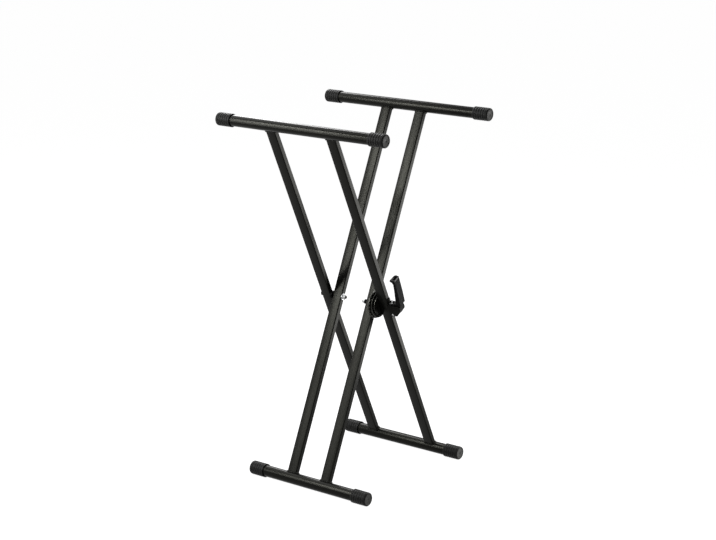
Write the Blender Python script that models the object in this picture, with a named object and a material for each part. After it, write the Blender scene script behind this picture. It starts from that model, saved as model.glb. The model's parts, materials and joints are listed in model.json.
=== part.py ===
"""Double-braced folding keyboard stand with a toothed clutch and a release lever.

Metres, +Z up. X runs across the stand, along a keyboard. Y runs along the rails.
The origin is on the floor under the middle of the stand. Each frame is drawn
upright in its own empty on the fold axis, and the empty leans it over.
"""
import math

import bmesh
import bpy
from mathutils import Matrix, Vector

# Stance and reach of the two frames
LEAN = math.radians(24.63)
UPPER_REACH = 0.551
LOWER_REACH = 0.5085

# Running gap left between pieces that touch on the real stand
FIT = 0.0003

# Rails, the round tubes at the top and on the floor
UPPER_RAIL_RADIUS = 0.015
UPPER_RAIL_LENGTH = 0.5404
LOWER_RAIL_RADIUS = 0.0159
LOWER_RAIL_LENGTH = 0.3904
RAIL_WALL = 0.0015

# Legs, rectangular tubes with their wide side along the rails
LEG_WIDTH = 0.030
LEG_THICKNESS = 0.015
LEG_WALL = 0.0015
LEG_CORNER = 0.002
OUTER_LEG_SPACING = 0.1978

# Rubber cups on the rail ends
CAP_LENGTH = 0.044
CAP_WALL = 0.0025
CAP_FLOOR = 0.003
CAP_CHAMFER = 0.0015
CAP_RIM = 0.003
CAP_FACE_RECESS = 0.0012

# Bolts, nuts and washers of the fold axis
BOLT_RADIUS = 0.004
BOLT_HEAD_RADIUS = 0.0075
BOLT_HEAD_HEIGHT = 0.004
NUT_RADIUS = 0.0075
NUT_HEIGHT = 0.008
BOLT_END = 0.001
WASHER_RADIUS = 0.010
WASHER_THICKNESS = 0.0016
SLEEVE_WALL = 0.0014
SPACER_RADIUS = 0.012
SPACER_THICKNESS = 0.0068
CLUTCH_BOLT_RADIUS = 0.003
CLUTCH_NUT_RADIUS = 0.0058
CLUTCH_NUT_HEIGHT = 0.0065
CLUTCH_BOLT_END = 0.0025
BUSH_RADIUS = 0.0070
BUSH_LENGTH = 0.0076

# Toothed clutch between the two near legs
FIXED_DISC_RADIUS = 0.039
FIXED_PLATE = 0.0034
SLIDING_DISC_RADIUS = 0.036
SLIDING_PLATE = 0.0028
TOOTH_COUNT = 24
TOOTH_HEIGHT = 0.0022
TOOTH_INNER_RADIUS = 0.025
TOOTH_LENGTH = 0.0095
TOOTH_TIP_GAP = 0.0003
TOOTH_TOP_SCALE = 0.72
SLIDE_TRAVEL = 0.0027
CUP_RADIUS = 0.0205
CUP_WALL = 0.002
CUP_FLOOR = 0.0015
CUP_CLEARANCE = 0.0007
GUIDE_PLATE_RADIUS = 0.030
GUIDE_PLATE_THICKNESS = 0.0022
SPRING_RADIUS = 0.0068
SPRING_WIRE = 0.0007
SPRING_TURNS = 3

# Release pins, draw plate and the pins of the lever
RELEASE_PIN_RADIUS = 0.0025
RELEASE_PIN_SPACING = 0.022
PIN_HEAD_RADIUS = 0.0034
PIN_HEAD_HEIGHT = 0.0014
DRAW_PLATE_WIDTH = 0.012
DRAW_PLATE_MARGIN = 0.004
DRAW_PLATE_THICKNESS = 0.0025
DRAW_BOSS_WIDTH = 0.007
DRAW_BOSS_LENGTH = 0.012
DRAW_BOSS_HEIGHT = 0.0078
DRAW_SLOT_BACK = 0.0012
CROSS_PIN_RADIUS = 0.002
CROSS_PIN_HEAD = 0.0012

# Lever bracket, a folded steel channel on the outer near leg
BRACKET_WIDTH = 0.022
BRACKET_SHEET = 0.002
BRACKET_TOP = 0.013
BRACKET_DEPTH = 0.0415
BRACKET_TOE_OUT = 0.0245
BRACKET_TOE_DROP = 0.0207
BRACKET_HEEL_DROP = 0.0250
BRACKET_KNEE_DROP = 0.0015
BRACKET_TONGUE_TOP = 0.0265
BRACKET_TONGUE_WIDTH = 0.013
SCREW_RADIUS = 0.002
SCREW_HEAD_RADIUS = 0.004
SCREW_HEAD_HEIGHT = 0.0025
SCREW_RISE = 0.021
SCREW_LENGTH = 0.006

# Release lever: places along the leg from the fold axis, and out from the leg
HINGE_DROP = 0.0176
HINGE_OUT = 0.011
LEVER_SIDE = 0.002
LEVER_SIDE_GAP = 0.0004
LEVER_WEB = 0.003
GRIP_WIDTH = 0.022
GRIP_TIP_ROUND = 0.009
GRIP_OUTLINE = [
    (0.0200, 0.0320),
    (0.0730, 0.0420),
    (0.0900, 0.0445),
    (0.0955, 0.0425),
    (0.0990, 0.0365),
    (0.1020, 0.0356),
    (0.1065, 0.0425),
    (0.1100, 0.0465),
    (0.1105, 0.0495),
    (0.1080, 0.0522),
    (0.0970, 0.0528),
    (0.0580, 0.0508),
    (0.0200, 0.0472),
]

# Fineness of the round pieces and of their shading
RAIL_SIDES = 24
PIN_SIDES = 12
HEX_SIDES = 6
TOOTHED_SIDES = 2 * TOOTH_COUNT
SPRING_SIDES = 10
MERGE_DISTANCE = 0.000002
SHARP_ANGLE = math.radians(30)

# Values that follow from the sizes above
HEX_FLAT = math.cos(math.pi / HEX_SIDES)
UPPER_CAP_RADIUS = UPPER_RAIL_RADIUS + FIT + CAP_WALL
LOWER_CAP_RADIUS = LOWER_RAIL_RADIUS + FIT + CAP_WALL
PIVOT_HEIGHT = LOWER_CAP_RADIUS + LOWER_REACH * math.cos(LEAN)
FAR_GAP = SPACER_THICKNESS + 2 * FIT
TEETH_DEPTH = 2 * TOOTH_HEIGHT + TOOTH_TIP_GAP
CLUTCH_GAP = (
    FIT + FIXED_PLATE + TEETH_DEPTH + SLIDING_PLATE + SLIDE_TRAVEL
    + FIT + GUIDE_PLATE_THICKNESS + FIT
)
OUTER_LEG_Y = OUTER_LEG_SPACING / 2
INNER_FAR_LEG_Y = OUTER_LEG_Y - LEG_WIDTH - FAR_GAP
INNER_NEAR_LEG_Y = -OUTER_LEG_Y + LEG_WIDTH + CLUTCH_GAP
LEG_HALF = LEG_WIDTH / 2
HOLE_RADIUS = BOLT_RADIUS + FIT
CLUTCH_HOLE_RADIUS = CLUTCH_BOLT_RADIUS + FIT
PIN_HOLE_RADIUS = RELEASE_PIN_RADIUS + FIT
CROSS_HOLE_RADIUS = CROSS_PIN_RADIUS + FIT
SCREW_HOLE_RADIUS = SCREW_RADIUS + FIT
NEAR_FACE_Y = -OUTER_LEG_Y - LEG_HALF

# Depths out from the outer near leg's face
BASE_OUT = FIT + BRACKET_SHEET
HEAD_START = BASE_OUT + FIT
HEAD_END = HEAD_START + BOLT_HEAD_HEIGHT
DRAW_PLATE_START = HEAD_END + 2 * FIT
DRAW_PLATE_END = DRAW_PLATE_START + DRAW_PLATE_THICKNESS
DRAW_PIN_OUT = DRAW_PLATE_END + DRAW_BOSS_HEIGHT / 2
LEVER_HALF = BRACKET_WIDTH / 2 - BRACKET_SHEET - LEVER_SIDE_GAP

# The two release pins, by their places along the leg
PIN_PLACES = (("upper", RELEASE_PIN_SPACING / 2), ("lower", -RELEASE_PIN_SPACING / 2))


def clear_scene():
    """Start from an empty scene."""
    for thing in list(bpy.data.objects):
        bpy.data.objects.remove(thing)


def finish(name, colour, roughness, metallic):
    """A plain finish with the piece's colour and gloss."""
    material = bpy.data.materials.new(name)
    material.use_nodes = True
    shader = material.node_tree.nodes["Principled BSDF"]
    shader.inputs["Base Color"].default_value = (*colour, 1.0)
    shader.inputs["Roughness"].default_value = roughness
    shader.inputs["Metallic"].default_value = metallic
    return material


def empty_at(name, location, turn=0.0, parent=None):
    """An empty that carries one moving group and stands on its joint's axis."""
    holder = bpy.data.objects.new(name, None)
    holder.location = location
    holder.rotation_euler = (0.0, turn, 0.0)
    holder.parent = parent
    bpy.context.collection.objects.link(holder)
    return holder


def piece(name, shape, material, parent, location=(0, 0, 0), turn=0.0):
    """Turn a bmesh into a named object, shaded smooth between its sharp edges."""
    mesh = bpy.data.meshes.new(name)
    bmesh.ops.recalc_face_normals(shape, faces=shape.faces)
    shape.to_mesh(mesh)
    shape.free()
    mesh.shade_smooth()
    mesh.set_sharp_from_angle(angle=SHARP_ANGLE)
    mesh.materials.append(material)
    made = bpy.data.objects.new(name, mesh)
    made.parent = parent
    made.location = location
    made.rotation_euler = (0.0, turn, 0.0)
    bpy.context.collection.objects.link(made)
    return made


def cutter(name, shape, parent, location=(0, 0, 0), turn=0.0):
    """A tool shape for a Boolean, kept out of the model."""
    tool = piece(name, shape, None, parent, location, turn)
    tool.hide_render = True
    tool.display_type = "WIRE"
    return tool


def combine(target, tool, operation):
    """Apply one shape to another, live, as a Boolean modifier."""
    step = target.modifiers.new(tool.name, "BOOLEAN")
    step.operation = operation
    step.solver = "EXACT"
    step.object = tool


def turned(profile, sides):
    """Spin (radius, y) points about Y, with a flat side facing straight up."""
    shape = bmesh.new()
    half_step = math.pi / sides
    # flats, not corners, lie on the stated radius
    drop = math.tan(half_step)
    ring = [shape.verts.new((radius, along, -radius * drop)) for radius, along in profile]
    closed = profile[0][0] > 0
    count = len(ring)
    edges = [
        shape.edges.new((ring[i], ring[(i + 1) % count]))
        for i in range(count if closed else count - 1)
    ]
    bmesh.ops.spin(
        shape, geom=ring + edges, cent=(0, 0, 0), axis=(0, 1, 0),
        angle=2 * math.pi, steps=sides, use_merge=True, use_duplicate=False,
    )
    bmesh.ops.remove_doubles(shape, verts=shape.verts, dist=MERGE_DISTANCE)
    return shape


def ring_profile(inner, outer, start, end):
    """The section of a washer, sleeve or tube."""
    return [(inner, start), (inner, end), (outer, end), (outer, start)]


def rod_profile(radius, start, end):
    """The section of a solid rod."""
    return [(0, start), (radius, start), (radius, end), (0, end)]


def side_plate(outline, half_width):
    """Extrude an outline of (along the leg, out from the leg) points across the leg."""
    shape = bmesh.new()
    corners = [
        shape.verts.new((-half_width, NEAR_FACE_Y - out, along)) for along, out in outline
    ]
    face = shape.faces.new(corners)
    pushed = bmesh.ops.extrude_face_region(shape, geom=[face])["geom"]
    moved = [part for part in pushed if isinstance(part, bmesh.types.BMVert)]
    bmesh.ops.translate(shape, verts=moved, vec=(2 * half_width, 0, 0))
    return shape


def block(width, depth, height, centre=(0, 0, 0)):
    """A plain box about a centre."""
    shape = bmesh.new()
    bmesh.ops.create_cube(shape, size=1.0)
    bmesh.ops.scale(shape, vec=(width, depth, height), verts=shape.verts)
    bmesh.ops.translate(shape, vec=centre, verts=shape.verts)
    return shape


def cross_rod(radius, half_length, along, out):
    """A rod across the leg, in the lever's width direction."""
    shape = turned(rod_profile(radius, -half_length, half_length), PIN_SIDES)
    bmesh.ops.rotate(shape, matrix=Matrix.Rotation(math.pi / 2, 3, "Z"), verts=shape.verts)
    bmesh.ops.translate(shape, vec=(0, NEAR_FACE_Y - out, along), verts=shape.verts)
    return shape


def make_rail(name, parent, height, radius, length, material, upright):
    """One round rail, open at both ends."""
    profile = ring_profile(radius - RAIL_WALL, radius, -length / 2, length / 2)
    piece(name, turned(profile, RAIL_SIDES), material, parent, (0, 0, height), upright)


def make_cap(name, parent, height, rail_radius, rail_length, side, material, upright):
    """A rubber cup over a rail end, with a rim round its recessed end face."""
    bore = rail_radius + FIT
    outer = bore + CAP_WALL
    floor = rail_length / 2 + FIT
    end = floor + CAP_FLOOR
    mouth = end - CAP_LENGTH
    profile = [
        (0, floor),
        (bore, floor),
        (bore, mouth),
        (outer - CAP_CHAMFER / 2, mouth),
        (outer, mouth + CAP_CHAMFER / 2),
        (outer, end - CAP_CHAMFER),
        (outer - CAP_CHAMFER, end),
        (outer - CAP_RIM, end),
        (outer - CAP_RIM, end - CAP_FACE_RECESS),
        (0, end - CAP_FACE_RECESS),
    ]
    shape = turned([(radius, side * along) for radius, along in profile], RAIL_SIDES)
    piece(name, shape, material, parent, (0, 0, height), upright)


def make_leg(name, parent, centre_y, bore_radius, material, upright, extra_holes=()):
    """A rectangular tube, coped round both rails and drilled for the fold bolt."""
    length = UPPER_REACH + LOWER_REACH
    middle = (UPPER_REACH - LOWER_REACH) / 2
    shape = block(LEG_THICKNESS, LEG_WIDTH, length)
    long_edges = [e for e in shape.edges if abs(e.verts[0].co.z - e.verts[1].co.z) > LEG_WIDTH]
    bmesh.ops.bevel(
        shape, geom=long_edges, offset=LEG_CORNER, segments=2, profile=0.5,
        affect="EDGES", material=-1,
    )
    leg = piece(name, shape, material, parent, (0, centre_y, middle))
    hollow = block(LEG_THICKNESS - 2 * LEG_WALL, LEG_WIDTH - 2 * LEG_WALL, length + 2 * RAIL_WALL)
    combine(leg, cutter(name + "_hollow", hollow, parent, (0, centre_y, middle)), "DIFFERENCE")
    for where, height, radius in (
        ("_upper_cope", UPPER_REACH, UPPER_RAIL_RADIUS),
        ("_lower_cope", -LOWER_REACH, LOWER_RAIL_RADIUS),
    ):
        cope = turned(rod_profile(radius + FIT, -LEG_WIDTH, LEG_WIDTH), RAIL_SIDES)
        tool = cutter(name + where, cope, parent, (0, centre_y, height), upright)
        combine(leg, tool, "DIFFERENCE")
        # the leg's stub past the rail's middle is cut away as well
        stub = block(3 * LEG_THICKNESS, 2 * LEG_WIDTH, 2 * radius)
        beyond = height + math.copysign(radius, height)
        combine(leg, cutter(name + where + "_stub", stub, parent, (0, centre_y, beyond)), "DIFFERENCE")
    bore = turned(rod_profile(bore_radius, -LEG_WIDTH, LEG_WIDTH), PIN_SIDES)
    combine(leg, cutter(name + "_bore", bore, parent, (0, centre_y, 0)), "DIFFERENCE")
    for index, (radius, along, through) in enumerate(extra_holes):
        reach = LEG_WIDTH if through else LEG_HALF
        drill = turned(rod_profile(radius, -LEG_WIDTH, reach - LEG_HALF), PIN_SIDES)
        if through:
            bmesh.ops.translate(drill, vec=(0, LEG_HALF / 2, 0), verts=drill.verts)
        tool = cutter(f"{name}_hole_{index}", drill, parent, (0, centre_y, along))
        combine(leg, tool, "DIFFERENCE")
    return leg


def make_sleeve(name, parent, centre_y, bore_radius, material):
    """The steel tube inside a leg that keeps the bolt from crushing it."""
    half = LEG_HALF - LEG_WALL - FIT
    profile = ring_profile(bore_radius, bore_radius + SLEEVE_WALL, -half, half)
    piece(name, turned(profile, PIN_SIDES), material, parent, (0, centre_y, 0))


def make_frame(prefix, parent, leg_places, upright, black, rubber, steel, near_holes):
    """Two rails, two legs, four caps and two leg sleeves of one frame."""
    rails = (
        ("upper", UPPER_REACH, UPPER_RAIL_RADIUS, UPPER_RAIL_LENGTH),
        ("lower", -LOWER_REACH, LOWER_RAIL_RADIUS, LOWER_RAIL_LENGTH),
    )
    for level, height, radius, length in rails:
        make_rail(f"{prefix}_{level}_rail", parent, height, radius, length, black, upright)
        for end, side in (("far", 1), ("near", -1)):
            name = f"{prefix}_{level}_cap_{end}"
            make_cap(name, parent, height, radius, length, side, rubber, upright)
    for end, centre_y in leg_places:
        holes = near_holes if end == "near" else ()
        bore = CLUTCH_HOLE_RADIUS if end == "near" else HOLE_RADIUS
        make_leg(f"{prefix}_leg_{end}", parent, centre_y, bore, black, upright, holes)
        make_sleeve(f"{prefix}_sleeve_{end}", parent, centre_y, bore, steel)


def hex_bolt(name, parent, radius, head_y, head_side, end_y, material):
    """A hexagon-head bolt along the fold axis, its head starting at head_y."""
    shank = turned(rod_profile(radius, min(head_y, end_y), max(head_y, end_y)), PIN_SIDES)
    bolt = piece(name, shank, material, parent)
    low, high = sorted((head_y, head_y + head_side * BOLT_HEAD_HEIGHT))
    head = turned(rod_profile(BOLT_HEAD_RADIUS * HEX_FLAT, low, high), HEX_SIDES)
    combine(bolt, cutter(name + "_head", head, parent), "UNION")


def hex_nut(name, parent, corner_radius, thread_radius, ends, material):
    """A lock nut between two places on the fold axis."""
    low, high = sorted(ends)
    nut = turned(rod_profile(corner_radius * HEX_FLAT, low, high), HEX_SIDES)
    nut = piece(name, nut, material, parent)
    thread = turned(rod_profile(thread_radius + FIT, low - FIT, high + FIT), PIN_SIDES)
    combine(nut, cutter(name + "_thread", thread, parent), "DIFFERENCE")


def make_far_pivot(parent, black, plastic, steel):
    """The plain pivot between the two far legs."""
    outer_face = OUTER_LEG_Y + LEG_HALF
    inner_face = INNER_FAR_LEG_Y - LEG_HALF
    washer_end = inner_face - FIT - WASHER_THICKNESS
    nut_start = washer_end - FIT
    nut_end = nut_start - NUT_HEIGHT
    bolt_end = nut_end - BOLT_END
    hex_bolt("far_pivot_bolt", parent, BOLT_RADIUS, outer_face + FIT, 1, bolt_end, black)
    hex_nut("far_pivot_nut", parent, NUT_RADIUS, BOLT_RADIUS, (nut_start, nut_end), steel)
    washer = ring_profile(HOLE_RADIUS, WASHER_RADIUS, washer_end, inner_face - FIT)
    piece("far_pivot_washer", turned(washer, RAIL_SIDES), steel, parent)
    spacer_start = INNER_FAR_LEG_Y + LEG_HALF + FIT
    spacer = ring_profile(HOLE_RADIUS, SPACER_RADIUS, spacer_start, spacer_start + SPACER_THICKNESS)
    piece("far_pivot_spacer", turned(spacer, RAIL_SIDES), plastic, parent)


def make_near_pivot(outer, inner, plastic, steel):
    """The bolt through the clutch, with its bush and lock nut on the inner leg."""
    inner_face = INNER_NEAR_LEG_Y + LEG_HALF
    bush_end = inner_face + FIT + BUSH_LENGTH
    nut_start = bush_end + FIT
    ends = (nut_start, nut_start + CLUTCH_NUT_HEIGHT)
    bolt_end = ends[1] + CLUTCH_BOLT_END
    head = NEAR_FACE_Y - HEAD_START
    hex_bolt("clutch_bolt", outer, CLUTCH_BOLT_RADIUS, head, -1, bolt_end, steel)
    hex_nut("clutch_nut", outer, CLUTCH_NUT_RADIUS, CLUTCH_BOLT_RADIUS, ends, steel)
    bush = ring_profile(CLUTCH_HOLE_RADIUS, BUSH_RADIUS, inner_face + FIT, bush_end)
    piece("clutch_bush", turned(bush, RAIL_SIDES), plastic, inner)


def add_teeth(shape, front_y, direction):
    """Raise every second sector of the tooth band into a face tooth."""
    outer = TOOTH_INNER_RADIUS + TOOTH_LENGTH
    shape.faces.ensure_lookup_table()
    band = []
    for face in shape.faces:
        centre = face.calc_center_median()
        reach = math.hypot(centre.x, centre.z)
        on_front = abs(centre.y - front_y) < TOOTH_HEIGHT / 10
        if on_front and TOOTH_INNER_RADIUS < reach < outer:
            band.append((math.atan2(centre.z, centre.x), face))
    band.sort(key=lambda item: item[0])
    raised = [face for index, (angle, face) in enumerate(band) if index % 2 == 0]
    tops = bmesh.ops.extrude_discrete_faces(shape, faces=raised)["faces"]
    for top in tops:
        middle = top.calc_center_median()
        for corner in top.verts:
            away = (corner.co - middle) * TOOTH_TOP_SCALE
            corner.co = middle + away + Vector((0, direction * TOOTH_HEIGHT, 0))


def make_clutch(outer, inner, slider, black, steel):
    """Fixed disc on the inner leg, sliding disc, guide plate and spring on the outer leg."""
    tooth_outer = TOOTH_INNER_RADIUS + TOOTH_LENGTH
    leg_face = INNER_NEAR_LEG_Y - LEG_HALF
    back = leg_face - FIT
    front = back - FIXED_PLATE
    fixed = turned(
        [
            (CLUTCH_HOLE_RADIUS, back), (CLUTCH_HOLE_RADIUS, front), (TOOTH_INNER_RADIUS, front),
            (tooth_outer, front), (FIXED_DISC_RADIUS, front), (FIXED_DISC_RADIUS, back),
        ],
        TOOTHED_SIDES,
    )
    add_teeth(fixed, front, -1)
    # half a tooth's turn from the sliding disc, so that the teeth face the gaps
    mesh_turn = -2 * LEAN + math.pi / TOOTH_COUNT
    piece("fixed_clutch_disc", fixed, black, inner, turn=mesh_turn)

    tips = front - TOOTH_HEIGHT - TOOTH_TIP_GAP
    tooth_root = tips - TOOTH_HEIGHT
    plate_back = tooth_root - SLIDING_PLATE
    cup_front = front - CUP_CLEARANCE
    cup_back = cup_front - CUP_FLOOR
    sliding = turned(
        [
            (CLUTCH_HOLE_RADIUS, cup_back), (CLUTCH_HOLE_RADIUS, cup_front), (CUP_RADIUS, cup_front),
            (CUP_RADIUS, tooth_root), (TOOTH_INNER_RADIUS, tooth_root), (tooth_outer, tooth_root),
            (SLIDING_DISC_RADIUS, tooth_root), (SLIDING_DISC_RADIUS, plate_back),
            (CUP_RADIUS - CUP_WALL, plate_back), (CUP_RADIUS - CUP_WALL, cup_back),
        ],
        TOOTHED_SIDES,
    )
    add_teeth(sliding, tooth_root, 1)
    disc = piece("sliding_clutch_disc", sliding, black, slider)
    for label, along in PIN_PLACES:
        section = rod_profile(PIN_HOLE_RADIUS, cup_back - CUP_FLOOR, cup_front + CUP_FLOOR)
        drill = turned(section, PIN_SIDES)
        combine(disc, cutter(f"disc_hole_{label}", drill, slider, (0, 0, along)), "DIFFERENCE")

    outer_face = -OUTER_LEG_Y + LEG_HALF
    guide_near = outer_face + FIT
    guide_far = guide_near + GUIDE_PLATE_THICKNESS
    section = ring_profile(CLUTCH_HOLE_RADIUS, GUIDE_PLATE_RADIUS, guide_near, guide_far)
    guide_shape = turned(section, RAIL_SIDES)
    guide = piece("clutch_guide_plate", guide_shape, black, outer)
    for label, along in PIN_PLACES:
        drill = turned(rod_profile(PIN_HOLE_RADIUS, guide_near - FIT, guide_far + FIT), PIN_SIDES)
        combine(guide, cutter(f"guide_hole_{label}", drill, outer, (0, 0, along)), "DIFFERENCE")

    start = guide_far + FIT + SPRING_WIRE
    end = cup_back - FIT - SPRING_WIRE
    make_spring("return_spring", outer, start, end, steel)
    return cup_front


def make_spring(name, parent, start, end, material):
    """A short coil round the bolt that pushes the sliding disc into mesh."""
    count = SPRING_TURNS * SPRING_SIDES
    curve = bpy.data.curves.new(name, "CURVE")
    curve.dimensions = "3D"
    curve.bevel_depth = SPRING_WIRE
    curve.bevel_resolution = 1
    curve.use_fill_caps = True
    spline = curve.splines.new("POLY")
    spline.points.add(count)
    for index, point in enumerate(spline.points):
        share = index / count
        angle = 2 * math.pi * SPRING_TURNS * share
        along = start + (end - start) * share
        point.co = (SPRING_RADIUS * math.cos(angle), along, SPRING_RADIUS * math.sin(angle), 1)
    curve.materials.append(material)
    coil = bpy.data.objects.new(name, curve)
    coil.parent = parent
    bpy.context.collection.objects.link(coil)


def make_release_pins(slider, disc_front, steel):
    """Two headed pins from the sliding disc through the leg to the draw plate."""
    plate_end = NEAR_FACE_Y - DRAW_PLATE_END
    head_start = plate_end - FIT
    head_end = head_start - PIN_HEAD_HEIGHT
    profile = [
        (0, disc_front), (RELEASE_PIN_RADIUS, disc_front), (RELEASE_PIN_RADIUS, head_start),
        (PIN_HEAD_RADIUS, head_start), (PIN_HEAD_RADIUS, head_end), (0, head_end),
    ]
    for label, along in PIN_PLACES:
        shape = turned(profile, PIN_SIDES)
        piece(f"release_pin_{label}", shape, steel, slider, (0, 0, along))


def make_draw_plate(slider, steel):
    """The plate that joins the release pins, with a slotted boss for the lever's pin."""
    length = RELEASE_PIN_SPACING + 2 * DRAW_PLATE_MARGIN
    middle = NEAR_FACE_Y - (DRAW_PLATE_START + DRAW_PLATE_END) / 2
    shape = block(DRAW_PLATE_WIDTH, DRAW_PLATE_THICKNESS, length, (0, middle, 0))
    plate = piece("draw_plate", shape, steel, slider)
    boss_middle = NEAR_FACE_Y - DRAW_PLATE_END - DRAW_BOSS_HEIGHT / 2 + DRAW_PLATE_THICKNESS / 4
    boss_depth = DRAW_BOSS_HEIGHT + DRAW_PLATE_THICKNESS / 2
    boss = block(DRAW_BOSS_WIDTH, boss_depth, DRAW_BOSS_LENGTH, (0, boss_middle, 0))
    combine(plate, cutter("draw_boss", boss, slider), "UNION")
    slot = side_plate(
        [
            (-CROSS_HOLE_RADIUS - DRAW_SLOT_BACK, DRAW_PIN_OUT - CROSS_HOLE_RADIUS),
            (CROSS_HOLE_RADIUS, DRAW_PIN_OUT - CROSS_HOLE_RADIUS),
            (CROSS_HOLE_RADIUS, DRAW_PIN_OUT + CROSS_HOLE_RADIUS),
            (-CROSS_HOLE_RADIUS - DRAW_SLOT_BACK, DRAW_PIN_OUT + CROSS_HOLE_RADIUS),
        ],
        DRAW_BOSS_WIDTH,
    )
    combine(plate, cutter("draw_slot", slot, slider), "DIFFERENCE")
    for label, along in PIN_PLACES:
        drill = turned(
            rod_profile(
                PIN_HOLE_RADIUS,
                NEAR_FACE_Y - DRAW_PLATE_END - FIT,
                NEAR_FACE_Y - DRAW_PLATE_START + FIT,
            ),
            PIN_SIDES,
        )
        combine(plate, cutter(f"draw_hole_{label}", drill, slider, (0, 0, along)), "DIFFERENCE")


def make_bracket(outer, black, steel):
    """The channel on the leg that holds the lever's hinge pin, and its screw."""
    outline = [
        (-BRACKET_HEEL_DROP, FIT),
        (-BRACKET_TOE_DROP, BRACKET_TOE_OUT),
        (-BRACKET_KNEE_DROP, BRACKET_DEPTH - BRACKET_SHEET / 2),
        (BRACKET_TOP / 2, BRACKET_DEPTH),
        (BRACKET_TOP, BRACKET_DEPTH - 2 * BRACKET_SHEET),
        (BRACKET_TOP, BASE_OUT),
        (BRACKET_TONGUE_TOP, BASE_OUT),
        (BRACKET_TONGUE_TOP, FIT),
    ]
    bracket = piece("lever_bracket", side_plate(outline, BRACKET_WIDTH / 2), black, outer)
    tall = 2 * BRACKET_TONGUE_TOP
    deep = 2 * BRACKET_DEPTH
    inside = [(-tall, BASE_OUT), (-tall, deep), (tall, deep), (tall, BASE_OUT)]
    tongue_height = BRACKET_TONGUE_TOP - BRACKET_TOP
    for label, side in (("left", -1), ("right", 1)):
        across = side * (BRACKET_TONGUE_WIDTH + BRACKET_WIDTH) / 2
        place = (across, NEAR_FACE_Y, BRACKET_TOP + tongue_height)
        notch = block(BRACKET_WIDTH, BRACKET_DEPTH, 2 * tongue_height, place)
        combine(bracket, cutter(f"tongue_{label}", notch, outer), "DIFFERENCE")
    inner_half = BRACKET_WIDTH / 2 - BRACKET_SHEET
    combine(bracket, cutter("bracket_inside", side_plate(inside, inner_half), outer), "DIFFERENCE")
    holes = (
        ("bolt", CLUTCH_HOLE_RADIUS, 0.0),
        ("pin_upper", PIN_HOLE_RADIUS, RELEASE_PIN_SPACING / 2),
        ("pin_lower", PIN_HOLE_RADIUS, -RELEASE_PIN_SPACING / 2),
        ("screw", SCREW_HOLE_RADIUS, SCREW_RISE),
    )
    for label, radius, along in holes:
        drill = turned(
            rod_profile(radius, NEAR_FACE_Y - BASE_OUT - FIT, NEAR_FACE_Y), PIN_SIDES,
        )
        combine(bracket, cutter(f"bracket_{label}_hole", drill, outer, (0, 0, along)), "DIFFERENCE")
    hinge = cross_rod(CROSS_HOLE_RADIUS, BRACKET_WIDTH, -HINGE_DROP, HINGE_OUT)
    combine(bracket, cutter("bracket_hinge_hole", hinge, outer), "DIFFERENCE")

    head_start = NEAR_FACE_Y - BASE_OUT - FIT
    head_end = head_start - SCREW_HEAD_HEIGHT
    point = head_start + SCREW_LENGTH
    screw = turned(
        [
            (0, point), (SCREW_RADIUS, point), (SCREW_RADIUS, head_start),
            (SCREW_HEAD_RADIUS, head_start), (SCREW_HEAD_RADIUS, head_end), (0, head_end),
        ],
        PIN_SIDES,
    )
    piece("bracket_screw", screw, steel, outer, (0, 0, SCREW_RISE))


def cross_pin(name, parent, half_length, along, out, material, hinge):
    """A headed pin across the lever, with its origin carried by the lever's hinge."""
    shape = cross_rod(CROSS_PIN_RADIUS, half_length, along, out)
    pin = piece(name, shape, material, parent, location=hinge)
    head = cross_rod(CROSS_PIN_RADIUS + CROSS_PIN_HEAD, CROSS_PIN_HEAD / 2, along, out)
    bmesh.ops.translate(head, vec=(-half_length, 0, 0), verts=head.verts)
    combine(pin, cutter(name + "_head", head, parent, location=hinge), "UNION")


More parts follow.
